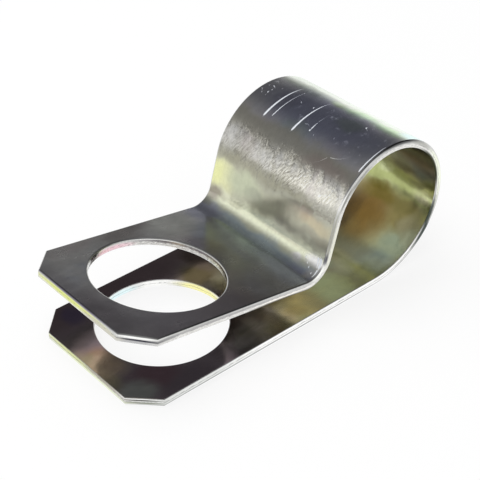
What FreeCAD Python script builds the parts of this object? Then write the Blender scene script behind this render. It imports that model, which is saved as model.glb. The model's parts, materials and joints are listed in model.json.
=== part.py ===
import FreeCAD, Part
import math
import os

# Pipe clamp folded from one plated steel strap: a flat lower ear, a loop that goes round
# the pipe, a tight neck bend, and an upper ear that stands open until the bolt closes it.
# The origin is on the pipe's centre line, in the middle of the strap's width. The ears
# point to -X, Y runs along the pipe, and Z is up from the lower ear.

# Sheet
sheet_thickness = 1.2

# Loop round the pipe
pipe_diameter = 20.0
pipe_clearance = 0.1  # all round, while the bolt is still out
lead_in_radius = 12.5  # inside face, where the lower ear begins to curl up into the loop
lead_in_angle = 48.0

# Neck between the loop and the upper ear
neck_straight = 5.6
neck_radius = 3.1  # outside face, which is the hollow side of this bend
neck_gap = 5.1  # between the ears, where the neck ends

# Ears
ear_reach = 44.9  # from the pipe's centre line to the tip of the lower ear
tip_overhang = 0.4  # how much further the open upper ear reaches
ear_splay = 9.5
corner_cut = 3.7

# Bolt holes, and the sheet left round them
hole_diameter = 19.0
side_margin = 3.0  # on both sides of the upper hole
tip_margin = 4.0
lower_hole_shift = 0.4  # the lower hole is punched a little off the middle of the strap

# Sheared and punched rims
rolled_rim_radius = 0.25  # outside face, where the shear and the punch went in
tumbled_rim_radius = 0.12  # inside face

# Points that lie closer than this are on the same face or edge
match_distance = 0.01

# Strap, just wide enough for its holes
strap_width = hole_diameter + 2 * side_margin
hole_from_tip = hole_diameter / 2 + tip_margin

# Loop and lead-in, which meet on a common tangent
loop_radius = pipe_diameter / 2 + pipe_clearance + sheet_thickness
lead_in_outer_radius = lead_in_radius + sheet_thickness
lead_in_heading = math.radians(lead_in_angle)
lead_in_offset = lead_in_outer_radius - loop_radius
lead_in_start_x = -lead_in_offset * math.sin(lead_in_heading)
base_z = lead_in_offset * math.cos(lead_in_heading) - lead_in_outer_radius
lower_ear_top = base_z + sheet_thickness

# Neck, whose straight touches the loop at one end and the neck bend at the other
splay = math.radians(ear_splay)
neck_end_z = lower_ear_top + neck_gap + sheet_thickness * math.cos(splay)
neck_centre_z = neck_end_z + neck_radius * math.cos(splay)
neck_centre_distance = math.hypot(neck_straight, loop_radius + neck_radius)
neck_centre_x = -math.sqrt(neck_centre_distance**2 - neck_centre_z**2)
neck_end_x = neck_centre_x - neck_radius * math.sin(splay)
neck_centre_angle = math.pi + math.atan2(-neck_centre_z, -neck_centre_x)
loop_end_angle = neck_centre_angle - math.atan2(neck_straight, loop_radius + neck_radius)
loop_end_heading = loop_end_angle + math.pi / 2

# Upper ear, whose tip stands just past the lower one
upper_ear_heading = math.pi - splay
upper_ear_length = (ear_reach + tip_overhang + neck_end_x) / math.cos(splay)


def heading_vector(heading):
    """A unit vector in the side view, turned anticlockwise from +X."""
    return FreeCAD.Vector(math.cos(heading), 0, math.sin(heading))


class FacePath:
    """One face of the bent strap in the side view, drawn from the lower tip onwards.

    depth is how far that face lies behind the outside face, through the sheet.
    """

    def __init__(self, depth):
        self.depth = depth
        self.point = FreeCAD.Vector(-ear_reach, -strap_width / 2, base_z + depth)
        self.heading = 0.0
        self.edges = []

    def straight(self, length):
        end = self.point + heading_vector(self.heading) * length
        self.edges.append(Part.LineSegment(self.point, end).toShape())
        self.point = end

    def bend(self, outside_radius, heading):
        """Bend to a new heading, with this radius on the outside face of the strap."""
        turn = heading - self.heading
        radius = math.copysign(outside_radius, turn) - self.depth
        left = math.pi / 2
        centre = self.point + heading_vector(self.heading + left) * radius
        middle = centre - heading_vector(self.heading + turn / 2 + left) * radius
        end = centre - heading_vector(heading + left) * radius
        self.edges.append(Part.Arc(self.point, middle, end).toShape())
        self.point = end
        self.heading = heading


def strap_face(depth):
    path = FacePath(depth)
    path.straight(ear_reach + lead_in_start_x)
    path.bend(lead_in_outer_radius, lead_in_heading)
    path.bend(loop_radius, loop_end_heading)
    path.straight(neck_straight)
    path.bend(neck_radius, upper_ear_heading)
    path.straight(upper_ear_length)
    return path.edges


def tip_edge(outside_point, inside_point):
    return Part.LineSegment(outside_point, inside_point).toShape()


def bent_strap(outside, inside):
    """The strap with square ends and no holes."""
    upper_tip = tip_edge(outside[-1].lastVertex().Point, inside[-1].lastVertex().Point)
    lower_tip = tip_edge(inside[0].firstVertex().Point, outside[0].firstVertex().Point)
    outline = Part.Wire(outside + [upper_tip] + inside[::-1] + [lower_tip])
    return Part.Face(outline).extrude(across)


def with_cut_corners(strap):
    """Cut the four corners of the tips. Their edges go through the sheet."""
    tip_x = sheet_thickness - ear_reach
    corners = [
        edge
        for edge in strap.Edges
        if edge.CenterOfMass.x < tip_x and edge.BoundBox.YLength < match_distance
    ]
    return strap.makeChamfer(corner_cut, corners)


def bolt_hole(centre, axis):
    """What the punch takes out of one ear, centred on the ear's top face."""
    start = centre + axis * sheet_thickness
    return Part.makeCylinder(hole_diameter / 2, 3 * sheet_thickness, start, axis * -1)


def lower_hole():
    centre = FreeCAD.Vector(hole_from_tip - ear_reach, lower_hole_shift, lower_ear_top)
    return bolt_hole(centre, FreeCAD.Vector(0, 0, 1))


def upper_hole():
    neck_end = FreeCAD.Vector(neck_end_x, 0, neck_end_z)
    to_hole = heading_vector(upper_ear_heading) * (upper_ear_length - hole_from_tip)
    return bolt_hole(neck_end + to_hole, heading_vector(math.pi / 2 - splay))


def rims_on(strap, face_edges):
    """Edges where one face of the sheet meets a sheared or punched wall.

    The lines between two bends lie on the same face, but they run the full width.
    """
    face = Part.Wire(face_edges).extrude(across)
    rims = []
    for edge in strap.Edges:
        middle = edge.valueAt((edge.FirstParameter + edge.LastParameter) / 2)
        on_face = face.distToShape(Part.Vertex(middle))[0] < match_distance
        full_width = edge.BoundBox.YLength > strap_width - match_distance
        if on_face and not full_width:
            rims.append(edge)
    return rims


across = FreeCAD.Vector(0, strap_width, 0)
outside = strap_face(0)
inside = strap_face(sheet_thickness)
strap = with_cut_corners(bent_strap(outside, inside))
strap = strap.cut([lower_hole(), upper_hole()])
strap = strap.makeFillet(rolled_rim_radius, rims_on(strap, outside))
strap = strap.makeFillet(tumbled_rim_radius, rims_on(strap, inside))

os.makedirs("parts", exist_ok=True)
strap.exportStep("parts/clamp_strap.step")
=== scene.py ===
import json
import math
import bpy
import numpy as np
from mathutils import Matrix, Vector, noise
from mathutils.geometry import delaunay_2d_cdt


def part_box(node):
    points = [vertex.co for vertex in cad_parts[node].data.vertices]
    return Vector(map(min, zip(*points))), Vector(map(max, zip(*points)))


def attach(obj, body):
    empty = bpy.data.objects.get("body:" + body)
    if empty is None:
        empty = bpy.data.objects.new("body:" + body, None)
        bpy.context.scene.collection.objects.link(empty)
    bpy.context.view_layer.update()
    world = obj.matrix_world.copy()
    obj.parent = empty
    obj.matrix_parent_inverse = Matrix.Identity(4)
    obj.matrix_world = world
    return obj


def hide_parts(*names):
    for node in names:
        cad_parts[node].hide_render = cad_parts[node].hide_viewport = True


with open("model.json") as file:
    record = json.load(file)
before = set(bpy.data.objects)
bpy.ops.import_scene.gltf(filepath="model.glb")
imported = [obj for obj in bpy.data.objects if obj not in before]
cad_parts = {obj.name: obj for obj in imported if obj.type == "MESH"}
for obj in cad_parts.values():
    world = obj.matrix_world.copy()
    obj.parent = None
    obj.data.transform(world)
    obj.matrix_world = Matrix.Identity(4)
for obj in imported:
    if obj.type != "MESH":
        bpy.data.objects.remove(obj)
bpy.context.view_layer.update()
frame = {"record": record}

# Sizes in millimetres, as in the part's own source. The strap is made flat, as a blank with
# its holes punched and its edges sheared, and then folded. A point of the blank is given by
# how far it lies along the strap from the lower tip, how far across from the middle, and how
# deep behind the outside face.
METRE = 1000.0
mounts = {mount["name"]: mount for mount in frame["record"]["mounts"]}
bore_radius = mounts["pipe_bore"]["dims"]["r_mm"]
hole_radius = mounts["upper_bolt_hole"]["dims"]["r_mm"]
half_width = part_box("clamp_strap")[1].y * METRE
sheet_thickness = 1.2
lead_in_radius = 12.5
lead_in_heading = math.radians(48)
neck_straight = 5.6
neck_radius = 3.1
neck_gap = 5.1
ear_reach = 44.9
tip_overhang = 0.4
ear_splay = math.radians(9.5)
corner_cut = 3.7
hole_from_tip = 13.5
lower_hole_shift = 0.4
rolled_rim = 0.25
tumbled_rim = 0.12

# Details that only the scene has: the cut corners' round in plan, and how deep the sheared
# edge's burnished land goes before the torn face, which lies a little further in
corner_round = 0.3
burnish_end = 0.6
burnish_waver = 0.12
seam_step = 0.02
fracture_recess = 0.05
fracture_tilt = 0.25

# The grain that bending raised on the loop, just above the neck: how deep the pits between it
# are, and how its flecks lean from the strap's length. They lose half of their contrast
# between two places across the strap.
grain_centre = 89.7
grain_half_width = 2.6
grain_depth = 0.04
grain_lean = math.radians(30)
grain_calm = (-2.5, -8.0)

# Mesh spacing, and how many points a rim and a corner have
ring_step = 0.3
rim_points = 5
corner_points = 4
skin_margin = 0.25
bend_steps = (0.45, 0.9)
ear_steps = (1.5, 1.5)
grain_steps = (0.16, 0.13)
mark_step = 0.12
mark_shares = (-1, -0.5, 0, 0.5, 1)
mark_clearance = 1.4
weld_distance = 1e-6

# Folds, worked out as in the part's own source
loop_radius = bore_radius + sheet_thickness
lead_in_outer = lead_in_radius + sheet_thickness
lead_in_offset = lead_in_outer - loop_radius
lead_in_start_x = -lead_in_offset * math.sin(lead_in_heading)
base_z = lead_in_offset * math.cos(lead_in_heading) - lead_in_outer
neck_end_z = base_z + sheet_thickness + neck_gap + sheet_thickness * math.cos(ear_splay)
neck_centre_z = neck_end_z + neck_radius * math.cos(ear_splay)
neck_centre_distance = math.hypot(neck_straight, loop_radius + neck_radius)
neck_centre_x = -math.sqrt(neck_centre_distance**2 - neck_centre_z**2)
neck_end_x = neck_centre_x - neck_radius * math.sin(ear_splay)
neck_centre_angle = math.pi + math.atan2(-neck_centre_z, -neck_centre_x)
loop_end_angle = neck_centre_angle - math.atan2(neck_straight, loop_radius + neck_radius)
loop_end_heading = loop_end_angle + math.pi / 2
upper_ear_heading = math.pi - ear_splay
upper_ear_length = (ear_reach + tip_overhang + neck_end_x) / math.cos(ear_splay)


def heading_vector(heading):
    """Unit vectors that point along headings, which turn anticlockwise from the first axis."""
    return np.stack([np.cos(heading), np.sin(heading)], axis=-1)


def noise_at(points, scale, layer):
    """One layer of smooth noise, from -1 to 1, at points of the blank."""
    return np.array([noise.noise(Vector((*point, layer))) for point in points * scale])


class Section:
    """A straight or a bend of the strap. Its length runs along the middle of the sheet."""

    def __init__(self, before, length=0.0, radius=0.0, heading=None):
        self.start = before.end if before else 0.0
        self.point = before.end_point if before else np.array([-ear_reach, base_z])
        self.heading = before.end_heading if before else 0.0
        self.end_heading = self.heading if heading is None else heading
        self.turn = self.end_heading - self.heading
        self.radius = math.copysign(radius, self.turn)
        self.length = length or self.turn * (self.radius - sheet_thickness / 2)
        self.end = self.start + self.length
        self.end_point = self.outside(np.array([self.length]))[0][0]

    def outside(self, run):
        """Points of the outside face in the side view, and the headings there."""
        heading = self.heading + self.turn * run / self.length
        if not self.turn:
            return self.point + heading_vector(heading) * run[:, None], heading
        left = math.pi / 2
        centre = self.point + heading_vector(self.heading + left) * self.radius
        return centre - heading_vector(heading + left) * self.radius, heading


lower_ear = Section(None, length=ear_reach + lead_in_start_x)
lead_in = Section(lower_ear, radius=lead_in_outer, heading=lead_in_heading)
loop = Section(lead_in, radius=loop_radius, heading=loop_end_heading)
neck_run = Section(loop, length=neck_straight)
neck = Section(neck_run, radius=neck_radius, heading=upper_ear_heading)
upper_ear = Section(neck, length=upper_ear_length)
sections = [lower_ear, lead_in, loop, neck_run, neck, upper_ear]
strap_length = upper_ear.end
hole_centres = [
    np.array([hole_from_tip, lower_hole_shift]),
    np.array([strap_length - hole_from_tip, 0.0]),
]


def folded(blank, facing):
    """Folds points of the blank, and the directions that they face."""
    starts = [section.start for section in sections]
    which = np.searchsorted(starts[1:], blank[:, 0], side="right")
    places = np.empty_like(blank)
    normals = np.empty_like(blank)
    for number, section in enumerate(sections):
        here = which == number
        outside, heading = section.outside(blank[here, 0] - section.start)
        ahead = heading_vector(heading)
        inward = heading_vector(heading + math.pi / 2)
        side_view = outside + inward * blank[here, 2:]
        places[here] = np.column_stack([side_view[:, 0], blank[here, 1], side_view[:, 1]])
        turned = ahead * facing[here, :1] + inward * facing[here, 2:]
        normals[here] = np.column_stack([turned[:, 0], facing[here, 1], turned[:, 1]])
    return places, normals


# Marks of use on the outside: lines that run round the loop, heaviest at their lower end, a
# worn corner where the neck meets the near edge, whose rubbed white is partly a painted
# highlight, and short nicks. Each mark is its points (along, across), its half width and its
# strength. A nick is its place and its strength.
scratches = [
    ([(84.8, 7.6), (81.0, 7.5), (76.9, 7.45)], 0.24, 1.0),
    ([(84.3, 6.3), (81.0, 6.2), (76.8, 6.15)], 0.14, 0.6),
    ([(84.7, 1.75), (81.5, 1.65), (77.2, 1.6)], 0.22, 1.0),
    ([(83.5, -0.75), (82.6, -0.75), (81.4, -0.7)], 0.17, 0.8),
    ([(81.6, -0.7), (80.6, -0.75), (79.4, -0.8)], 0.12, 0.3),
    ([(82.9, 0.7), (82.7, 0.2), (83.1, -0.6)], 0.16, 0.3),
    ([(85.3, -6.6), (84.7, -8.4), (83.3, -9.8)], 0.17, 0.28),
    ([(85.4, -6.4), (86.4, -5.6), (87.3, -4.4)], 0.16, 0.25),
    ([(79.6, 11.0), (79.8, 10.6), (80.1, 10.0)], 0.16, 0.5),
    ([(81.0, 12.0), (81.3, 11.6), (81.8, 11.2)], 0.2, 0.3),
    ([(78.2, 11.3), (78.6, 11.7), (79.0, 12.0)], 0.2, 0.3),
    ([(79.8, 4.8), (80.0, 4.6), (80.3, 4.2)], 0.14, 0.45),
    ([(78.3, -6.8), (78.6, -7.2), (78.9, -7.6)], 0.12, 0.4),
    ([(85.1, -12.02), (82.5, -12.06), (79.5, -12.08)], 0.15, 1.0),
    # The worn corner at the neck: rubbed, and partly a painted highlight
    ([(98.4, -11.7), (99.8, -11.95), (102.2, -12.05)], 0.28, 1.0),
    ([(98.5, -11.2), (99.3, -11.4), (100.4, -11.7)], 0.26, 0.8),
]
nicks = [
    (81.1, 10.4, 0.8), (79.7, 2.2, 0.7), (78.2, -6.8, 0.9), (82.6, -5.0, 0.3), (83.6, -1.9, 0.3),
    (84.0, -2.7, 0.2), (82.9, -10.3, 0.25), (77.9, 6.15, 0.4), (81.9, 2.6, 0.25), (79.3, 9.3, 0.3),
    (81.6, 11.2, 0.4), (80.4, 10.3, 0.5), (81.7, 10.2, 0.3), (79.9, 11.5, 0.35), (80.9, 9.6, 0.2),
    # Nicks on the worn corner at the neck, partly a painted highlight
    (99.5, -9.2, 0.9), (100.7, -10.5, 0.8), (101.4, -11.5, 0.6), (100.2, -9.9, 0.5),
]
nick_length = 0.45
nick_bow = 0.1
nick_half_width = 0.13
groove_depth = 0.035
for along, across, strength in nicks:
    nick_line = [
        (along + nick_length / 2, across - nick_bow),
        (along, across + nick_bow),
        (along - nick_length / 2, across - nick_bow),
    ]
    scratches.append((nick_line, nick_half_width, strength))

# A mark sets in quickly, fades towards its end, and is narrower there.
mark_first_strength = 0.2
mark_onset = 12
mark_taper = 0.5
fewest_mark_points = 5


def mark_lines(marks):
    """Points along each mark, which bows through its middle point, with the half width and
    the strength there."""
    lines = []
    for (first, middle, last), width, strength in marks:
        first, middle, last = (np.array(point) for point in (first, middle, last))
        count = max(fewest_mark_points, round(np.linalg.norm(last - first) / mark_step))
        share = np.linspace(0, 1, count)[:, None]
        bow = 2 * middle - (first + last) / 2
        line = first * (1 - share)**2 + 2 * bow * share * (1 - share) + last * share**2
        share = share[:, 0]
        fade = np.clip(share * mark_onset + mark_first_strength, 0, 1) * (1 - share)**0.5
        lines.append((line, width * (1 - mark_taper * share), strength * fade))
    return lines


groove_lines = mark_lines(scratches)


def wear_at(points, lines):
    """How worn the outside face is at points of the blank, from 0 to 1."""
    wear_and_glint = np.zeros(len(points))
    for line, width, strength in lines:
        distance = np.linalg.norm(points[:, None] - line[None], axis=2)
        nearest = distance.argmin(1)
        away = distance[np.arange(len(points)), nearest] / width[nearest]
        wear_and_glint = np.maximum(wear_and_glint, strength[nearest] * np.cos(np.clip(away, 0, 1) * np.pi / 2)**2)
    return wear_and_glint


def grain_at(points):
    """Depth of the pits between the raised grain, from 0 to 1, at points of the blank."""
    off = np.abs(points[:, 0] - grain_centre) / grain_half_width
    envelope = np.clip(1.3 - off * 1.3, 0, 1)
    ahead = heading_vector(grain_lean)
    aside = heading_vector(grain_lean + math.pi / 2)
    flecks = noise_at(np.column_stack([points @ ahead, points @ aside]), (1.1, 3.2), 4.0)
    patchy = noise_at(points, (0.35, 0.3), 9.0)
    return envelope * np.clip(0.6 + 1.2 * patchy, 0.2, 1) * (0.5 + 0.5 * flecks)


def relief_at(points):
    """How far the outside face lies below its true surface at points of the blank."""
    return wear_at(points, groove_lines) * groove_depth + grain_at(points) * grain_depth


def ring_of_outline():
    """Points round the blank's outline, whose corners are cut and rounded, and the directions
    that its edge faces there."""
    ends = (corner_cut, strap_length - corner_cut)
    sides = half_width - corner_cut
    corners = [
        (ends[0], -half_width), (ends[1], -half_width), (strap_length, -sides),
        (strap_length, sides), (ends[1], half_width), (ends[0], half_width),
        (0.0, sides), (0.0, -sides),
    ]
    eighth = math.pi / 4
    centres = []
    for turn, corner in enumerate(corners):
        before = eighth * (turn - 3)
        mitre = heading_vector(np.array([before, before + eighth])).sum(0) / (1 + math.cos(eighth))
        centres.append(np.array(corner) - mitre * corner_round)
    points = []
    facings = []
    for turn, centre in enumerate(centres):
        arc = heading_vector(eighth * (turn - 3) + np.linspace(0, eighth, corner_points))
        points.extend(centre + arc * corner_round)
        facings.extend(arc)
        run = centres[(turn + 1) % len(centres)] - centre
        steps = round(np.linalg.norm(run) / ring_step)
        for step in range(1, steps):
            points.append(centre + arc[-1] * corner_round + run * step / steps)
            facings.append(arc[-1])
    return np.array(points), np.array(facings)


def ring_of_hole(centre):
    """Points round a hole, which faces its own middle."""
    steps = round(2 * math.pi * hole_radius / ring_step)
    arc = heading_vector(np.arange(steps) * -2 * math.pi / steps)
    return centre + arc * hole_radius, -arc


def edge_rows(points):
    """Rows of a sheared edge from the outside face to the inside face: for each, how far it
    is set in, how deep it lies, and how far it has turned from the outside to the edge."""
    quarter = np.linspace(0, math.pi / 2, rim_points)
    rows = []
    for turned in quarter:
        rows.append((rolled_rim * (1 - math.sin(turned)), rolled_rim * (1 - math.cos(turned)), turned))
    waver = noise_at(points, 0.9, 0.5)
    fine = noise_at(points, 3.1, 7.5)
    land = burnish_end + burnish_waver * (waver + 0.6 * fine)
    rows.append((0.0, land - seam_step, math.pi / 2))
    last = sheet_thickness - tumbled_rim
    for share in (0.0, 0.33, 0.66):
        torn = noise_at(points, 4, 20 + share * 9)
        recess = fracture_recess * (0.7 + 0.6 * torn) * (1 - share)
        depth = land + (last - land) * share
        rows.append((recess, depth, math.pi / 2 + torn * fracture_tilt))
    for turned in quarter[::-1]:
        rows.append((tumbled_rim * (1 - math.sin(turned)),
                     sheet_thickness - tumbled_rim * (1 - math.cos(turned)), math.pi - turned))
    return rows


OUTSIDE, INSIDE, EDGE = 0, 1, 2


class Blank:
    """The flat strap's mesh. Each face has the number of its material."""

    def __init__(self):
        self.points = []
        self.facings = []
        self.faces = []
        self.materials = []
        self.count = 0

    def add_points(self, points, facings):
        """Adds points, and returns their numbers."""
        first = self.count
        self.points.append(points)
        self.facings.append(facings)
        self.count += len(points)
        return np.arange(first, self.count)

    def add_edge(self, points, facings):
        """Adds a sheared edge, and returns its first and last rows of points."""
        rows = []
        for inset, depth, turned in edge_rows(points):
            size = len(points)
            inset, depth, turned = (np.full(size, value) for value in (inset, depth, turned))
            place = np.column_stack([points - facings * inset[:, None], depth])
            facing = np.column_stack([facings * np.sin(turned)[:, None], -np.cos(turned)])
            rows.append(self.add_points(place, facing))
        for row, below in zip(rows, rows[1:]):
            quads = np.column_stack([row, np.roll(row, -1), np.roll(below, -1), below])
            self.faces.extend(quads.tolist())
            self.materials.extend([EDGE] * len(quads))
        return rows[0], rows[-1]

    def add_skin(self, rings, inner, depth, facings, material):
        """Fills a face between its rings, of which the first is the outline and the rest are
        holes. Inner points lie between them."""
        flat = np.concatenate([self.points_at(ring) for ring in rings] + [inner])
        inner_numbers = self.add_points(np.column_stack([inner, depth]), facings)
        numbers = np.concatenate(rings + [inner_numbers])
        edges = []
        start = 0
        for ring in rings:
            here = np.arange(start, start + len(ring))
            edges.extend(zip(here.tolist(), np.roll(here, -1).tolist()))
            start += len(ring)
        places = [Vector(point) for point in flat]
        filled = delaunay_2d_cdt(places, edges, [], 1, weld_distance)
        triangles, sources_of_points = filled[2], filled[3]
        owners = [int(numbers[sources[0]]) for sources in sources_of_points]
        holes = [set(ring.tolist()) for ring in rings[1:]]
        for triangle in triangles:
            corners = [owners[corner] for corner in triangle]
            if any(hole.issuperset(corners) for hole in holes):
                continue
            self.faces.append(corners[::-1] if material == OUTSIDE else corners)
            self.materials.append(material)

    def points_at(self, numbers):
        """Places on the flat of the points with these numbers."""
        return np.concatenate(self.points)[numbers, :2]


def grid(along, across):
    """Every point that has one of these places along and one of these across."""
    return np.stack(np.meshgrid(along, across, indexing="ij"), -1).reshape(-1, 2)


def inner_points(marked):
    """Points of a skin's grid: close together on the bends, wide apart on the flat ears. A
    marked skin has finer ones in the raised grain and along each mark of use."""
    across_limit = half_width - rolled_rim - skin_margin
    grids = [
        (0.0, lower_ear.end, ear_steps),
        (lower_ear.end, upper_ear.start, bend_steps),
        (upper_ear.start, strap_length, ear_steps),
    ]
    points = []
    for start, end, (step_along, step_across) in grids:
        along = np.linspace(start, end, round((end - start) / step_along), endpoint=False)
        across = np.linspace(-1, 1, round(2 * across_limit / step_across)) * across_limit
        points.append(grid(along, across))
    points = np.concatenate(points)
    if marked:
        band = (grain_centre - grain_half_width, grain_centre + grain_half_width)
        points = points[(points[:, 0] < band[0]) | (points[:, 0] > band[1])]
        along = np.arange(*band, grain_steps[0])
        across = np.arange(-across_limit, across_limit, grain_steps[1])
        points = np.concatenate([points, grid(along, across)])
    edge = half_width - np.abs(points[:, 1])
    tip = np.minimum(points[:, 0], strap_length - points[:, 0])
    cut = (edge + tip - corner_cut) / math.sqrt(2)
    inside = np.minimum(np.minimum(edge, tip), cut) > rolled_rim + skin_margin
    for hole in hole_centres:
        inside &= np.linalg.norm(points - hole, axis=1) > hole_radius + rolled_rim + skin_margin
    points = points[inside]
    if marked:
        for line, width, strength in groove_lines:
            away = np.linalg.norm(points[:, None] - line[None], axis=2).min(1)
            points = points[away > width.max() * mark_clearance]
            ahead = np.gradient(line, axis=0)
            ahead /= np.linalg.norm(ahead, axis=1)[:, None]
            aside = np.column_stack([-ahead[:, 1], ahead[:, 0]])
            for share in mark_shares:
                points = np.concatenate([points, line + aside * width[:, None] * share])
    return points


def strap_mesh():
    """The folded strap's points, facings, faces, materials, blank places and wear."""
    blank = Blank()
    outer_rings = []
    inner_rings = []
    for points, facings in [ring_of_outline()] + [ring_of_hole(hole) for hole in hole_centres]:
        outer, inner = blank.add_edge(points, facings)
        outer_rings.append(outer)
        inner_rings.append(inner)
    points = inner_points(marked=True)
    nudge = 0.01
    along = (relief_at(points + (nudge, 0)) - relief_at(points - (nudge, 0))) / (2 * nudge)
    across = (relief_at(points + (0, nudge)) - relief_at(points - (0, nudge))) / (2 * nudge)
    facings = np.column_stack([along, across, -np.ones(len(points))])
    blank.add_skin(outer_rings, points, relief_at(points), facings, OUTSIDE)
    points = inner_points(marked=False)
    facings = np.tile([0.0, 0.0, 1.0], (len(points), 1))
    blank.add_skin(inner_rings, points, np.full(len(points), sheet_thickness), facings, INSIDE)
    flat = np.concatenate(blank.points)
    facings = np.concatenate(blank.facings)
    facings /= np.linalg.norm(facings, axis=1)[:, None]
    places, normals = folded(flat, facings)
    wear_and_glint = wear_at(flat[:, :2], groove_lines) * (flat[:, 2] < rolled_rim)
    return places / METRE, normals, blank.faces, blank.materials, flat, wear_and_glint


def folded_strap(materials):
    """The strap as one mesh piece."""
    places, normals, faces, face_materials, flat, wear_and_glint = strap_mesh()
    mesh = bpy.data.meshes.new("folded_strap")
    mesh.from_pydata(places.tolist(), [], faces)
    for material in materials:
        mesh.materials.append(material)
    mesh.polygons.foreach_set("material_index", face_materials)
    mesh.polygons.foreach_set("use_smooth", [True] * len(faces))
    mesh.attributes.new("blank", "FLOAT_VECTOR", "POINT").data.foreach_set("vector", flat.ravel())
    mesh.attributes.new("wear_and_glint", "FLOAT", "POINT").data.foreach_set("value", wear_and_glint)
    mesh.update()
    mesh.normals_split_custom_set_from_vertices(normals.tolist())
    piece = bpy.data.objects.new("folded_strap", mesh)
    bpy.context.scene.collection.objects.link(piece)
    return piece


class Shader:
    """Adds nodes to a node tree. An input may be a number, a colour or another node's output."""

    def __init__(self, tree):
        tree.nodes.clear()
        self.tree = tree

    def add(self, kind, inputs, output=0, **settings):
        """Adds a node, and returns one of its outputs."""
        node = self.tree.nodes.new("ShaderNode" + kind)
        for name, value in settings.items():
            setattr(node, name, value)
        for socket, value in inputs.items():
            if isinstance(value, bpy.types.NodeSocket):
                self.tree.links.new(value, node.inputs[socket])
            else:
                node.inputs[socket].default_value = value
        return node.outputs[output]

    def math(self, operation, first, second=0.0):
        return self.add("Math", {0: first, 1: second}, operation=operation)

    def scaled(self, vector, factors):
        return self.add("VectorMath", {0: vector, 1: factors}, operation="MULTIPLY")

    def noise(self, vector, scale, detail=2.0, roughness=0.5):
        inputs = {"Vector": vector, "Scale": scale, "Detail": detail, "Roughness": roughness}
        return self.add("TexNoise", inputs)

    def span(self, value, low, high, first=0.0, last=1.0):
        """Goes smoothly from first to last while the value goes from low to high."""
        inputs = {"Value": value, "From Min": low, "From Max": high, "To Min": first, "To Max": last}
        return self.add("MapRange", inputs, interpolation_type="SMOOTHSTEP")

    def grey(self, level):
        return self.add("CombineColor", {0: level, 1: level, 2: level})

    def ramp(self, value, stops):
        """The colour that a value has between stops, each with its place and its colour."""
        colour = self.add("ValToRGB", {"Fac": value})
        elements = colour.node.color_ramp.elements
        while len(elements) < len(stops):
            elements.new(0.5)
        for element, (place, shade) in zip(elements, stops):
            element.position = place
            element.color = (*shade, 1.0)
        return colour

    def mix(self, share, first, second, blend="MIX"):
        """Mixes two colours. The node's inputs 0, 6 and 7 are the share and the two colours, and
        its output 2 is the mixed one."""
        node = self.tree.nodes.new("ShaderNodeMix")
        node.data_type = "RGBA"
        node.blend_type = blend
        for socket, value in ((0, share), (6, first), (7, second)):
            if isinstance(value, bpy.types.NodeSocket):
                self.tree.links.new(value, node.inputs[socket])
            else:
                node.inputs[socket].default_value = value if socket == 0 else (*value, 1.0)
        return node.outputs[2]

    def finish(self, kind, surface):
        target = self.tree.nodes.new("ShaderNodeOutput" + kind)
        self.tree.links.new(surface, target.inputs["Surface"])


def new_material(name):
    material = bpy.data.materials.new(name)
    material.use_nodes = True
    return material, Shader(material.node_tree)


def zinc(shader, tint, roughness, normal, metal=1.0):
    """The shader of bright zinc plate."""
    inputs = {"Base Color": tint, "Metallic": metal, "Roughness": roughness, "Normal": normal}
    return shader.add("BsdfPrincipled", inputs)


# How far a patch of tint wanders, the share of its reach where it is full, and the colours
# that aren't passivation: rubbed zinc, whose white at the neck's worn corner is partly a painted
# highlight, the seam, and the tumbled rim, whose near white is partly burnish and partly painted
# highlight
tint_wander = 3.5
patch_core = 0.3
rubbed_zinc_and_glint = (0.88, 0.92, 0.97)
seam_tint = (0.16, 0.15, 0.15)
tumbled_rim_and_highlight = (0.96, 0.96, 0.94)


def drifting(shader, blank):
    """Blank places that wander a little, so that no patch of tint has a drawn outline."""
    wander = shader.add("TexNoise", {"Vector": blank, "Scale": 0.22, "Detail": 3.0}, 1)
    wander = shader.add("VectorMath", {0: wander, 1: (0.5, 0.5, 0.5)}, operation="SUBTRACT")
    wander = shader.scaled(wander, (tint_wander, tint_wander, 0.0))
    return shader.add("VectorMath", {0: blank, 1: wander}, operation="ADD")


def plating_tint_and_painted_light(shader, blank, colour, patches):
    """Colour of the passivation, with the painted highlights, painted reflections and painted
    shade that many patches carry: soft patches of other tints over a first one, each over the
    patches before it. A patch is full in its core and fades out at its reach."""
    drift = drifting(shader, blank)
    for place, reach, share, tint in patches:
        off = shader.add("VectorMath", {0: drift, 1: place}, operation="SUBTRACT")
        off = shader.scaled(off, [1 / size for size in reach])
        off = shader.add("VectorMath", {0: off}, 1, operation="LENGTH")
        colour = shader.mix(shader.span(off, 1.0, patch_core, 0.0, share), colour, tint)
    speckle = shader.noise(shader.scaled(blank, (0.9, 1.3, 1.0)), 1.0, 4.0, 0.6)
    shade = shader.grey(shader.span(speckle, 0.3, 0.7, 0.95, 1.03))
    return shader.mix(1.0, colour, shade, "MULTIPLY")


def grain_band(shader, blank, along, across):
    """How far bending has raised the grain: a ragged band across the loop, patchy, and weaker
    towards the far edge."""
    ragged = shader.noise(shader.scaled(blank, (0.5, 0.9, 1.0)), 1.0, 4.0, 0.65)
    off = shader.math("ADD", shader.math("SUBTRACT", along, grain_centre),
                      shader.span(ragged, 0.3, 0.7, -1.1, 1.1))
    off = shader.math("ABSOLUTE", off)
    raised = shader.span(off, grain_half_width * 1.1, grain_half_width * 0.3)
    patchy = shader.noise(shader.scaled(blank, (0.35, 0.5, 1.0)), 1.0, 3.0, 0.6)
    raised = shader.math("MULTIPLY", raised, shader.span(patchy, 0.35, 0.6, 0.35, 1.0))
    return shader.math("MULTIPLY", raised, shader.span(across, 1.0, 9.0, 1.0, 0.65))


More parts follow.
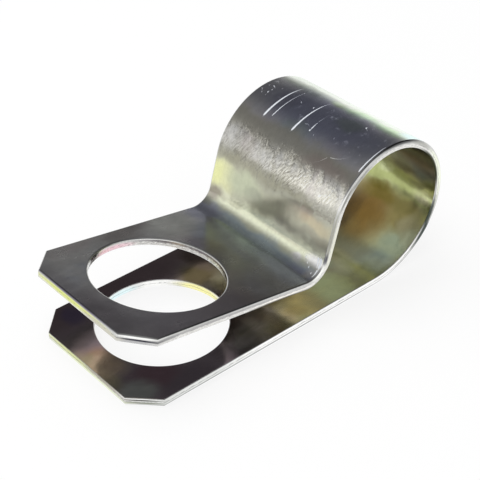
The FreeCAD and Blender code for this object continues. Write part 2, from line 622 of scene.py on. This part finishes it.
def grain_flecks(shader, blank, across):
    """Short leaning flecks, which are calmer towards the near edge."""
    middle = 0.56
    leaning = shader.add("VectorRotate", {"Vector": blank, "Angle": -grain_lean},
                         rotation_type="Z_AXIS")
    flecks = shader.noise(shader.scaled(leaning, (1.1, 3.6, 1.0)), 1.0, 4.0, 0.65)
    contrast = shader.span(across, *grain_calm, 1.0, 0.5)
    flecks = shader.math("MULTIPLY", shader.math("SUBTRACT", flecks, middle), contrast)
    return shader.math("ADD", flecks, middle)


def raised_grain(shader, blank, tint, normal):
    """Tint and normal with the raised grain, and a trace of it in the normal on the neck. The
    flecks' tint runs from dark to white, partly grain and partly painted glints and shade, and is
    painted lighter towards the near edge and darker towards the far edge and past the band towards
    the neck.
    """
    place = shader.add("SeparateXYZ", {"Vector": blank}).node.outputs
    along, across = place["X"], place["Y"]
    raised = grain_band(shader, blank, along, across)
    flecks = grain_flecks(shader, blank, across)
    neck_off = shader.math("ABSOLUTE", shader.math("SUBTRACT", along, neck.start + 0.8))
    trace = shader.span(neck_off, 2.2, 0.8, 0.0, 0.2)
    height = shader.math("MULTIPLY", flecks, shader.math("MAXIMUM", raised, trace))
    normal = shader.add("Bump", {"Height": height, "Strength": 1.0, "Distance": 0.00012,
                                 "Normal": normal})
    # The flecks' tint, from dark to white: partly grain, partly painted glints and shade
    specks = shader.ramp(flecks, [
        (0.38, (0.32, 0.30, 0.25)), (0.49, (0.68, 0.66, 0.57)), (0.60, (1.0, 0.98, 0.88)),
    ])
    # Painted light and shade on the flecks: lighter towards the near edge, darker towards the far edge
    # and past the band towards the neck
    dim = shader.math("MULTIPLY", shader.span(across, -8.0, 11.0, 1.26, 0.56),
                      shader.span(along, grain_centre + 0.7, grain_centre + 2.2, 1.0, 0.5))
    specks = shader.mix(1.0, specks, shader.grey(dim), "MULTIPLY")
    return shader.mix(shader.math("MULTIPLY", raised, 0.9), tint, specks), normal


def raw_metal(shader, blank, along):
    """Where the plating is rubbed: the marks of use, whose white at the neck's worn corner is
    partly a painted highlight, and a faint haze of handling on the loop, which ends before the
    raised grain."""
    wear_and_glint = shader.add("Attribute", {}, 2, attribute_name="wear_and_glint")
    edge = shader.scaled(drifting(shader, blank), (0.55, 0.8, 1.0))
    edge = shader.noise(edge, 1.0, 5.0, 0.7)
    haze = shader.math("MULTIPLY", shader.span(edge, 0.56, 0.72, 0.0, 0.16),
                       shader.span(along, grain_centre - 4.0, grain_centre - 7.0))
    return shader.math("MAXIMUM", shader.span(wear_and_glint, 0.05, 0.5), haze)


def plated_face(name, tints, patches, outside):
    """A face of the plated strap: faint rolled grain along it and soft waves. The outside also
    has the grain that bending raised and the marks of use, and it is a little duller from the
    neck on."""
    material, shader = new_material(name)
    blank = shader.add("Attribute", {}, 1, attribute_name="blank")
    wide = shader.noise(shader.scaled(blank, (0.075, 0.11, 0.5)), 1.0, 3.0, 0.55)
    tint = plating_tint_and_painted_light(shader, blank, shader.ramp(wide, tints), patches)
    streaks = shader.noise(shader.scaled(blank, (0.3, 4.0, 1.0)), 1.0, 4.0, 0.6)
    dull = shader.noise(shader.scaled(blank, (0.2, 0.3, 1.0)), 1.0, 2.0, 0.5)
    roughness = shader.math("ADD", shader.span(streaks, 0.3, 0.7, 0.13, 0.17),
                            shader.span(dull, 0.35, 0.65, 0.0, 0.06))
    waves = shader.noise(shader.scaled(blank, (0.12, 0.18, 1.0)), 1.0, 2.0, 0.4)
    normal = shader.add("Bump", {"Height": waves, "Strength": 0.35, "Distance": 0.0004})
    normal = shader.add("Bump", {"Height": streaks, "Strength": 0.05, "Distance": 0.00001,
                                 "Normal": normal})
    metal = 1.0
    if outside:
        tint, normal = raised_grain(shader, blank, tint, normal)
        along = shader.add("SeparateXYZ", {"Vector": blank})
        raw = raw_metal(shader, blank, along)
        tint = shader.mix(raw, tint, rubbed_zinc_and_glint)
        metal = shader.math("SUBTRACT", 1.0, raw)
        roughness = shader.math("ADD", roughness, shader.math("MULTIPLY", raw, 0.5))
        duller = shader.span(along, neck.start - 1.5, neck.start + 0.5, 0.0, 0.05)
        roughness = shader.math("ADD", roughness, duller)
    shader.finish("Material", zinc(shader, tint, roughness, normal, metal))
    return material


def sheared_edge(patches):
    """A sheared or punched edge: a burnished land with fine upright scoring, a faint seam, the
    brighter grain where the sheet broke away, and the tumbled rim at the inside face, near white,
    partly burnish and partly painted highlight. Its patches add painted highlights, painted
    reflections and painted shade."""
    material, shader = new_material("sheared_edge")
    blank = shader.add("Attribute", {}, 1, attribute_name="blank")
    depth = shader.add("SeparateXYZ", {"Vector": blank}, 2)
    uneven = shader.noise(shader.scaled(blank, (1.5, 1.5, 1.0)), 1.0, 3.0, 0.6)
    level = shader.math("ADD", depth, shader.span(uneven, 0.3, 0.7, -0.1, 0.1))
    torn = shader.span(level, burnish_end - 0.03, burnish_end + 0.05)
    scoring = shader.noise(shader.scaled(blank, (6.0, 6.0, 0.4)), 1.0, 3.0, 0.6)
    break_grain = shader.noise(shader.scaled(blank, (3.0, 3.0, 7.0)), 1.0, 4.0, 0.7)
    bare = shader.ramp(scoring, [
        (0.35, (0.54, 0.55, 0.55)), (0.50, (0.60, 0.60, 0.58)), (0.62, (0.67, 0.67, 0.65)),
    ])
    torn_tint = shader.ramp(break_grain, [
        (0.35, (0.64, 0.63, 0.62)), (0.50, (0.76, 0.75, 0.72)), (0.62, (0.88, 0.87, 0.85)),
    ])
    bare = shader.mix(torn, bare, torn_tint)
    tumbled = shader.span(depth, sheet_thickness - 1.5 * tumbled_rim,
                          sheet_thickness - 0.5 * tumbled_rim)
    # The tumbled rim's near white is partly a painted highlight
    bare = shader.mix(tumbled, bare, tumbled_rim_and_highlight)
    tint = plating_tint_and_painted_light(shader, blank, bare, patches)
    seam_off = shader.math("ABSOLUTE", shader.math("SUBTRACT", level, burnish_end))
    seam = shader.math("MULTIPLY", shader.span(seam_off, 0.08, 0.02),
                       shader.span(uneven, 0.35, 0.55, 0.5, 0.1))
    tint = shader.mix(seam, tint, seam_tint)
    height = shader.mix(torn, scoring, break_grain)
    normal = shader.add("Bump", {"Height": height, "Strength": 0.15, "Distance": 0.00004})
    roughness = shader.math("ADD", shader.span(scoring, 0.3, 0.7, 0.1, 0.16),
                            shader.math("MULTIPLY", torn, 0.12))
    shader.finish("Material", zinc(shader, tint, roughness, normal))
    return material


# Passivation and painted light: the tints of each face, and the patches where another tint
# gathers. Many patches are not the plating's own colour but painted highlights, painted
# reflections and painted shade fixed on the surface, above all the near-white and near-black
# ones. A patch is its place on the blank, its reach each way, its share and its tint. On the
# faces, place and reach are along and across; on the near edge and the near chamfers, they are
# along and deep; on the tips and the holes' walls, they are all three.
navy = (0.50, 0.53, 0.72)
mint = (0.87, 0.95, 0.83)
plum = (0.40, 0.355, 0.385)
# Near white, for painted highlights and painted reflections of the floor
highlight_white = (1.0, 1.0, 0.98)
every_way = 60.0
outside_tints = [
    (0.30, (0.68, 0.71, 0.78)), (0.42, (0.78, 0.78, 0.77)), (0.52, (0.80, 0.79, 0.76)),
    (0.62, (0.79, 0.74, 0.72)), (0.74, (0.80, 0.79, 0.70)),
]
inside_tints = [
    (0.28, (0.50, 0.54, 0.42)), (0.40, (0.56, 0.55, 0.40)), (0.52, (0.58, 0.56, 0.38)),
    (0.62, (0.56, 0.50, 0.36)), (0.74, (0.52, 0.56, 0.44)),
]
# The loop's back: mint and green plating tints where it mirrors the bright horizon, darker olive
# patches of painted shade that move the edge of that reflection, and navy and grey-blue plating tints
# below
back_of_loop = [
    ((72.0, 0.0), (4.5, every_way), 1.0, mint),
    ((72.0, 9.5), (4.6, 12.0), 0.8, (0.70, 0.79, 0.66)),
    ((75.9, -3.4), (1.9, 4.2), 0.95, (0.62, 0.86, 0.51)),
    ((76.1, -9.0), (1.9, 4.4), 0.9, (0.65, 0.88, 0.54)),
    ((74.0, -12.0), (2.6, 2.6), 0.9, (0.74, 0.98, 0.96)),
    ((76.6, 6.5), (1.5, 5.0), 0.8, (0.54, 0.58, 0.46)),
    ((76.3, 5.8), (1.9, 9.5), 0.8, (0.33, 0.38, 0.30)),
    ((80.6, -1.0), (6.4, 18.0), 0.85, navy),
    ((79.2, -4.6), (2.2, 3.6), 0.6, (0.46, 0.54, 0.50)),
    ((84.2, 1.4), (2.2, 3.4), 0.6, (0.56, 0.66, 0.66)),
    ((80.8, 6.6), (2.4, 3.0), 0.6, (0.42, 0.42, 0.52)),
    ((76.1, 0.6), (1.7, 2.6), 0.85, (0.52, 0.63, 0.44)),
]
# The loop's front above the neck: an olive band that darkens it, and darker patches under the raised
# grain and in a wedge towards the neck, painted shade and painted dark reflection of the ear; lime
# plating tint at the far edge
front_of_loop = [
    ((86.5, 0.0), (2.5, every_way), 0.85, (0.60, 0.58, 0.49)),
    ((86.8, -7.0), (1.6, 7.0), 0.6, (0.60, 0.50, 0.46)),
    ((95.2, 0.0), (5.6, every_way), 1.0, (0.49, 0.49, 0.385)),
    ((92.2, -3.0), (2.6, 14.0), 0.8, (0.42, 0.42, 0.35)),
    ((95.3, 11.2), (3.4, 5.4), 0.95, (0.75, 0.76, 0.455)),
    ((95.6, 12.6), (2.8, 2.8), 0.8, (0.82, 0.84, 0.42)),
    ((94.8, 5.8), (2.6, 5.0), 0.9, (0.54, 0.575, 0.42)),
    ((96.2, -1.0), (2.2, 6.0), 0.8, (0.38, 0.38, 0.30)),
    ((97.2, -8.8), (2.0, 6.4), 0.85, (0.34, 0.34, 0.275)),
    ((94.2, -9.0), (1.6, 4.6), 0.9, (0.56, 0.505, 0.36)),
    ((95.9, -10.0), (1.3, 5.0), 0.7, (0.37, 0.355, 0.28)),
    ((95.5, 3.2), (1.3, 2.4), 0.6, (0.38, 0.40, 0.31)),
    ((91.9, 2.0), (1.9, 16.0), 0.6, (0.31, 0.30, 0.215)),
    ((91.7, 10.5), (1.9, 4.4), 0.5, (0.26, 0.25, 0.17)),
]
# The ear's top: bluish and plum plating tints; a pale bluish band past the neck, partly plating tint
# and partly painted light; and the neck's painted highlight with painted shade around it
top_of_ear = [
    ((105.0, 0.0), (3.4, 14.0), 0.7, (0.68, 0.71, 0.83)),
    ((102.6, -1.0), (3.4, 16.0), 0.95, (0.86, 1.0, 1.0)),
    ((101.1, 0.0), (1.1, every_way), 0.7, (0.62, 0.74, 0.78)),
    ((102.9, 11.0), (4.4, 5.0), 0.8, (0.64, 0.65, 0.79)),
    ((106.4, 5.2), (4.4, 4.4), 0.85, (0.62, 0.67, 0.78)),
    ((110.0, 10.0), (6.0, 5.0), 0.7, (0.92, 0.94, 0.86)),
    ((110.4, 1.4), (4.2, 5.4), 0.85, (0.42, 0.40, 0.46)),
    ((122.0, -12.0), (22.0, 8.0), 0.9, plum),
    ((108.4, -9.5), (5.0, 6.0), 0.75, (0.60, 0.60, 0.70)),
    ((103.8, -9.5), (4.0, 6.0), 0.9, (0.66, 0.69, 0.90)),
    ((127.0, -6.0), (9.0, 12.0), 0.7, (0.54, 0.51, 0.54)),
    ((133.2, -4.0), (5.0, 11.0), 0.95, (0.40, 0.37, 0.39)),
    ((133.4, 6.0), (3.0, 8.0), 0.7, (0.54, 0.52, 0.54)),
    ((117.4, 12.2), (5.6, 5.0), 0.9, (0.44, 0.41, 0.39)),
    ((103.9, -6.5), (1.6, 8.0), 0.8, (0.54, 0.57, 0.74)),
    # From here on: the neck's highlight and the white at its near end are painted highlights, and the
    # darker patches beside it and at its far end are painted shade
    ((99.1, 0.0), (2.6, every_way), 0.95, (0.97, 1.0, 0.76)),
    ((98.0, 6.9), (1.1, 2.8), 0.7, (0.62, 0.62, 0.46)),
    ((97.5, -8.9), (1.1, 3.6), 0.7, (0.30, 0.30, 0.245)),
    ((98.5, -2.0), (1.2, 5.0), 0.8, (0.97, 1.0, 0.76)),
    ((99.5, -11.6), (1.7, 3.0), 1.0, highlight_white),
    ((98.3, 11.4), (1.8, 3.4), 0.9, (0.29, 0.26, 0.21)),
    ((99.6, 11.3), (1.2, 2.2), 0.8, (0.50, 0.46, 0.40)),
    ((100.9, 11.7), (1.2, 1.8), 0.7, (0.46, 0.46, 0.36)),
    ((100.2, -7.7), (1.0, 1.8), 0.9, highlight_white),
    ((101.8, -12.2), (1.9, 1.5), 0.85, highlight_white),
]
# The lower ear's inside face: darkened all over, with brown, purple and olive tints, near-black
# patches far darker than plating that are painted shade, and a white painted highlight
inside_lower_ear = [
    ((9.0, 0.0), (24.0, every_way), 0.9, (0.34, 0.28, 0.32)),
    ((13.0, 12.0), (30.0, 8.0), 0.9, (0.25, 0.18, 0.19)),
    ((9.0, -12.0), (6.0, 5.0), 0.6, (0.24, 0.19, 0.22)),
    ((6.0, -7.5), (5.0, 4.0), 0.8, (0.30, 0.18, 0.21)),
    ((2.0, -9.4), (4.2, 3.6), 0.9, (0.55, 0.58, 0.53)),
    ((3.2, 4.6), (5.6, 3.0), 0.8, (0.22, 0.19, 0.18)),
    ((5.0, 9.5), (3.0, 3.0), 0.6, (0.16, 0.13, 0.26)),
    ((1.6, -0.7), (4.2, 4.4), 0.95, (0.47, 0.32, 0.20)),
    ((0.2, -2.0), (2.4, 6.2), 0.85, (0.50, 0.48, 0.29)),
    ((0.6, -4.4), (2.6, 4.2), 0.8, (0.52, 0.48, 0.33)),
    ((2.0, -2.2), (4.2, 3.8), 0.8, (0.84, 0.66, 0.46)),
    # A painted highlight by the near edge
    ((21.0, -10.8), (5.8, 4.2), 1.0, (1.0, 1.0, 1.0)),
    ((15.6, -10.5), (2.4, 4.0), 0.7, (0.24, 0.20, 0.21)),
    ((20.5, -6.0), (6.5, 3.8), 0.95, (0.20, 0.17, 0.18)),
    ((23.6, 4.8), (6.0, 4.6), 0.95, (0.14, 0.11, 0.045)),
    ((25.5, 0.8), (2.6, 3.0), 0.8, (0.58, 0.53, 0.30)),
    ((26.5, -9.5), (3.0, 5.0), 0.7, (0.70, 0.60, 0.48)),
    ((32.4, -10.0), (4.4, 6.0), 0.9, (0.70, 0.57, 0.29)),
    ((29.2, -10.4), (2.2, 3.0), 0.6, (0.42, 0.33, 0.16)),
    ((28.8, -5.2), (5.0, 4.0), 0.9, (0.21, 0.165, 0.065)),
    ((27.4, 2.0), (2.4, 4.0), 0.8, (0.29, 0.27, 0.17)),
    ((27.0, 8.6), (3.6, 4.6), 0.85, (0.15, 0.105, 0.085)),
]
# Inside the loop: near-white patches towards the near edge are painted highlights; the lime band and
# the umber, olive and grey patches, far darker than plating, are partly passivation tint and partly
# painted shade
inside_loop = [
    ((37.0, -10.0), (4.6, 6.0), 0.9, (0.88, 0.89, 0.48)),
    ((44.0, -9.0), (4.4, 7.0), 0.9, (0.78, 0.80, 0.66)),
    ((45.4, -5.0), (3.2, 4.0), 0.7, (0.60, 0.53, 0.33)),
    ((46.0, -10.6), (2.8, 3.4), 0.8, (0.98, 1.0, 0.80)),
    ((49.8, -10.2), (4.0, 4.8), 0.95, (0.56, 0.66, 0.62)),
    ((51.0, -1.5), (7.6, 6.6), 1.0, (0.345, 0.255, 0.125)),
    ((53.6, -2.6), (4.6, 6.8), 0.7, (0.325, 0.20, 0.07)),
    ((54.6, -8.6), (3.4, 4.0), 0.8, (0.375, 0.325, 0.175)),
    ((56.4, -3.0), (2.3, 6.0), 0.9, (0.27, 0.215, 0.07)),
    ((56.6, -8.2), (2.2, 3.4), 0.85, (0.30, 0.27, 0.135)),
    ((60.0, -4.0), (3.2, every_way), 0.95, (0.45, 0.50, 0.205)),
    ((58.9, -10.6), (2.1, 3.4), 0.9, (0.80, 0.85, 0.46)),
    ((58.5, -10.6), (0.9, 2.4), 0.9, (1.0, 1.0, 0.66)),
    ((57.7, -2.0), (1.2, 3.4), 0.7, (0.20, 0.165, 0.035)),
    ((53.8, -10.6), (2.6, 2.6), 0.8, (0.47, 0.45, 0.37)),
    ((52.0, -12.2), (2.6, 2.2), 0.8, (0.66, 0.72, 0.66)),
    ((65.4, -2.0), (3.8, 9.0), 0.95, (0.30, 0.335, 0.25)),
    ((64.6, -10.5), (3.8, 6.0), 0.9, (0.27, 0.33, 0.40)),
    ((62.9, -6.2), (1.8, 3.4), 0.7, (0.24, 0.245, 0.165)),
    ((60.9, -9.6), (0.9, 3.4), 0.6, (0.24, 0.235, 0.145)),
    ((61.5, -2.7), (1.9, 2.6), 0.85, (0.74, 0.80, 0.46)),
    ((70.0, -6.0), (8.0, every_way), 0.95, (0.24, 0.27, 0.27)),
    ((67.8, -9.0), (2.8, 6.0), 0.85, (0.31, 0.36, 0.45)),
]
inside_upper_ear = [
    ((119.0, 0.0), (18.0, every_way), 0.9, (0.60, 0.55, 0.60)),
    ((106.0, 0.0), (10.0, every_way), 0.9, (0.80, 0.78, 0.83)),
]


def flat_patches(patches):
    """Gives the patches of a face a depth, with a reach that covers the sheet's thickness."""
    deep = []
    for place, reach, share, tint in patches:
        deep.append(((*place, 0.0), (*reach, every_way), share, tint))
    return deep


def patches_across(across, across_reach, patches):
    """Completes patches whose place and reach are along and deep with those across the strap."""
    whole = []
    for (along, depth), (along_reach, depth_reach), share, tint in patches:
        place = (along, across, depth)
        reach = (along_reach, across_reach, depth_reach)
        whole.append((place, reach, share, tint))
    return whole


edge_reach = 5.0
# The near edge: near white over most of it, a painted reflection of the floor; white painted
# highlights at its rims; and near-black and grey stripes along it, painted dark reflections and shade
near_edge = patches_across(-half_width, edge_reach, [
    ((30.0, 0.7), (36.0, every_way), 1.0, (1.0, 1.0, 0.99)),
    ((7.0, 0.6), (14.0, every_way), 0.6, (0.66, 0.68, 0.66)),
    ((25.0, 0.22), (36.0, 0.14), 1.0, (0.08, 0.09, 0.08)),
    ((47.0, 0.95), (6.5, 0.6), 1.0, highlight_white),
    ((49.5, 0.35), (4.0, 0.4), 0.7, (0.50, 0.50, 0.49)),
    ((54.0, 0.5), (3.2, 0.66), 1.0, (0.07, 0.09, 0.08)),
    ((57.0, 0.95), (5.0, 0.7), 1.0, (0.05, 0.065, 0.05)),
    ((49.0, 1.1), (3.4, 0.72), 1.0, highlight_white),
    ((64.5, 0.5), (7.0, 0.6), 0.95, (0.96, 1.0, 0.84)),
    ((66.8, 1.14), (8.0, 0.42), 1.0, (0.04, 0.045, 0.02)),
    ((72.5, 0.4), (3.0, 0.4), 0.7, (0.46, 0.46, 0.42)),
    ((77.4, 0.1), (6.0, 0.5), 0.95, (0.09, 0.09, 0.09)),
    ((85.5, 0.85), (4.0, 0.45), 0.9, (0.32, 0.32, 0.29)),
    ((89.0, 0.5), (3.2, 0.4), 0.9, (0.28, 0.28, 0.26)),
    ((90.0, 0.05), (3.0, 0.3), 0.9, highlight_white),
    ((95.0, 0.2), (6.0, 0.36), 0.85, (0.34, 0.34, 0.28)),
    ((96.0, 0.85), (5.0, 0.5), 0.8, (0.86, 0.86, 0.72)),
    ((98.2, 0.2), (1.2, 0.35), 0.9, (0.08, 0.08, 0.10)),
    ((100.8, 0.3), (3.0, 0.7), 0.95, (0.96, 0.97, 0.93)),
    ((107.5, 0.8), (7.0, 0.2), 0.8, (0.98, 0.94, 0.88)),
    ((100.8, 0.03), (2.4, 0.22), 1.0, highlight_white),
    ((108.4, 1.14), (7.5, 0.28), 1.0, (0.13, 0.11, 0.07)),
    ((119.0, 0.45), (16.0, 0.32), 0.8, (0.40, 0.39, 0.39)),
    ((118.0, 0.02), (18.0, 0.16), 0.9, (0.24, 0.24, 0.24)),
    ((129.0, 0.55), (3.5, 0.4), 0.85, (0.30, 0.30, 0.30)),
])
chamfer_across = corner_cut / 2 - half_width
chamfer_reach = 4.2
# The near chamfers' stripes are painted: a white highlight, a near-black reflection under it and a
# grey band. The far chamfers have none.
chamfers = patches_across(chamfer_across, chamfer_reach, [
    ((131.65, 0.2), (chamfer_reach, 0.42), 1.0, highlight_white),
    ((131.65, 0.66), (chamfer_reach, 0.24), 1.0, (0.02, 0.02, 0.04)),
    ((131.65, 0.97), (chamfer_reach, 0.3), 0.9, (0.48, 0.48, 0.49)),
    ((1.85, 0.45), (chamfer_reach, 0.18), 0.9, (0.22, 0.24, 0.18)),
    ((1.85, 0.88), (chamfer_reach, 0.16), 1.0, (0.05, 0.05, 0.04)),
    ((1.85, 1.15), (chamfer_reach, 0.18), 1.0, highlight_white),
])
# The tips: yellow-green and pale patches, partly passivation tint and partly painted highlight, and
# dark bands at the rims, painted dark reflection
tips = [
    ((133.5, 2.0, 0.6), (3.0, 11.0, 0.6), 1.0, (0.74, 0.79, 0.27)),
    ((133.5, -5.0, 0.85), (3.0, 6.0, 0.5), 0.8, (0.58, 0.56, 0.46)),
    ((133.5, 1.0, 0.1), (3.0, 12.0, 0.32), 0.95, (0.26, 0.24, 0.30)),
    ((0.0, 0.0, 0.3), (3.0, 13.0, 0.7), 0.9, (0.86, 0.91, 0.66)),
    ((0.0, 4.0, 0.9), (3.0, 9.0, 0.5), 0.95, (0.66, 0.70, 0.32)),
    ((0.0, -4.0, 0.95), (3.0, 7.0, 0.4), 0.9, (0.36, 0.33, 0.25)),
]
# The holes' walls: white painted highlights on the rims, dark patches of painted shade on the upper
# hole's near rim and the lower hole's walls, and strong pink, cyan and yellow tints
hole_walls = [
    ((121.0, 9.5, 0.8), (5.0, 2.5, 0.6), 0.9, (0.93, 0.62, 0.70)),
    ((114.5, 8.0, 0.44), (6.0, 4.0, 0.2), 0.85, (0.38, 0.36, 0.37)),
    ((114.5, 8.0, 0.12), (7.0, 4.6, 0.24), 1.0, highlight_white),
    ((111.5, -2.0, 0.6), (3.0, 6.0, 0.6), 0.8, (0.80, 0.79, 0.56)),
    ((122.0, -9.3, 0.1), (9.0, 3.0, 0.5), 0.9, (0.24, 0.23, 0.25)),
    ((12.6, 10.0, 0.5), (5.5, 3.5, 0.9), 1.0, (0.80, 0.96, 0.98)),
    ((18.5, 8.3, 0.6), (3.5, 3.5, every_way), 0.9, highlight_white),
    ((22.6, 3.0, 0.6), (4.6, 6.4, 1.0), 1.0, (0.96, 0.92, 0.44)),
    ((12.6, -7.0, 1.1), (14.0, 5.0, 0.5), 0.95, (0.16, 0.14, 0.16)),
    ((4.3, 1.0, 1.1), (2.4, 8.0, 0.5), 0.9, (0.36, 0.32, 0.30)),
]
outside_patches = flat_patches(back_of_loop + front_of_loop + top_of_ear)
inside_patches = flat_patches(inside_lower_ear + inside_loop + inside_upper_ear)
strap = folded_strap([
    plated_face("plated_outside", outside_tints, outside_patches, outside=True),
    plated_face("plated_inside", inside_tints, inside_patches, outside=False),
    sheared_edge(near_edge + chamfers + tips + hole_walls),
])
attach(strap, "root")
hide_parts("clamp_strap")

# Studio: a pale floor, a world and a lamp. What the metal mirrors is white up to the horizon,
# a wide bright window on its left, and a dim ceiling.
floor_half_size = 2.0
floor_gap = 0.02
white_light = (1.0, 1.0, 1.0)
window_light = (0.85, 0.85, 0.85)
room_light = (0.55, 0.55, 0.55)
window_direction = (-0.985, 0.17, 0.0)


def mirrored_rays(shader, path):
    """One for the rays that a surface mirrors or lets through, and zero for the rest."""
    return shader.math("MAXIMUM", path["Is Glossy Ray"], path["Is Transmission Ray"])


def floor_paint():
    """Pale paint that also shines by itself, for the camera and for the metal's mirror image."""
    material, shader = new_material("pale_floor")
    path = shader.add("LightPath", {}).node.outputs
    paint = shader.add("BsdfDiffuse", {"Color": (0.95, 0.95, 0.95, 1.0)})
    backlit = shader.add("Emission", {"Color": (*white_light, 1.0), "Strength": 1.05})
    share = shader.math("MAXIMUM", shader.math("MULTIPLY", path["Is Camera Ray"], 0.75),
                        shader.math("MULTIPLY", mirrored_rays(shader, path), 0.96))
    shader.finish("Material", shader.add("MixShader", {0: share, 1: paint, 2: backlit}))
    return material


def studio_floor():
    """A level sheet just under the clamp."""
    mesh = bpy.data.meshes.new("studio_floor")
    corners = []
    for x, y in ((-1, -1), (1, -1), (1, 1), (-1, 1)):
        corners.append((x * floor_half_size, y * floor_half_size, (base_z - floor_gap) / METRE))
    mesh.from_pydata(corners, [], [(0, 1, 2, 3)])
    mesh.materials.append(floor_paint())
    floor = bpy.data.objects.new("studio_floor", mesh)
    bpy.context.scene.collection.objects.link(floor)
    return floor


def studio_world():
    """White for the camera, the studio for mirrored rays, and even light for the rest."""
    world = bpy.data.worlds.new("studio")
    bpy.context.scene.world = world
    world.use_nodes = True
    shader = Shader(world.node_tree)
    direction = shader.add("TexCoord", {})
    height = shader.add("SeparateXYZ", {"Vector": direction}, 2)
    leftness = shader.add("VectorMath", {0: direction, 1: window_direction}, 1,
                          operation="DOT_PRODUCT")
    level = shader.math("ADD", shader.math("MULTIPLY", height, 0.5), 0.5)
    level = shader.math("SUBTRACT", level, shader.math("MULTIPLY", leftness, 0.03))
    sky = shader.ramp(level, [
        (0.46, (1.0, 1.0, 1.0)), (0.56, (0.95, 0.95, 0.95)), (0.62, (0.36, 0.36, 0.36)),
        (0.68, (0.18, 0.18, 0.185)), (0.76, (0.10, 0.10, 0.103)), (0.86, (0.095, 0.095, 0.1)),
        (1.0, (0.16, 0.16, 0.16)),
    ])
    glow = shader.span(leftness, -0.1, 0.5, 0.0, 0.18)
    sky = shader.mix(glow, sky, window_light)
    window = shader.math("MULTIPLY", shader.span(leftness, 0.25, 0.75),
                         shader.span(height, 0.68, 0.20))
    studio = shader.mix(window, sky, window_light)
    path = shader.add("LightPath", {}).node.outputs
    light = shader.mix(mirrored_rays(shader, path), room_light, studio)
    light = shader.mix(path["Is Camera Ray"], light, white_light)
    shader.finish("World", shader.add("Background", {"Color": light, "Strength": 1.0}))


floor = studio_floor()
studio_world()

# Lamp, in metres and watts, turned towards the origin
lamp_data = bpy.data.lights.new("softbox", "AREA")
lamp_data.size = 0.5
lamp_data.energy = 1.4
lamp = bpy.data.objects.new("softbox", lamp_data)
lamp.location = (-0.15, 0.1, 0.5)
lamp.rotation_euler = Vector(lamp.location).to_track_quat("Z", "Y").to_euler()
lamp.visible_glossy = False
bpy.context.scene.collection.objects.link(lamp)

# Camera, at the photograph's angle, in metres
camera_azimuth = math.radians(-41.13)
camera_elevation = math.radians(35.77)
camera_distance = 0.15873
camera_target = Vector((-0.02760, -0.01194, 0.00802))
camera_data = bpy.data.cameras.new("camera")
camera_data.lens = 93.43
camera_data.sensor_width = 36.0
camera_data.clip_start = 0.01
camera = bpy.data.objects.new("camera", camera_data)
towards_camera = Vector((
    math.sin(camera_azimuth) * math.cos(camera_elevation),
    -math.cos(camera_azimuth) * math.cos(camera_elevation),
    math.sin(camera_elevation),
))
camera.location = camera_target + towards_camera * camera_distance
camera.rotation_euler = towards_camera.to_track_quat("Z", "Y").to_euler()
bpy.context.scene.collection.objects.link(camera)
bpy.context.scene.camera = camera
bpy.context.scene.view_settings.view_transform = "Standard"
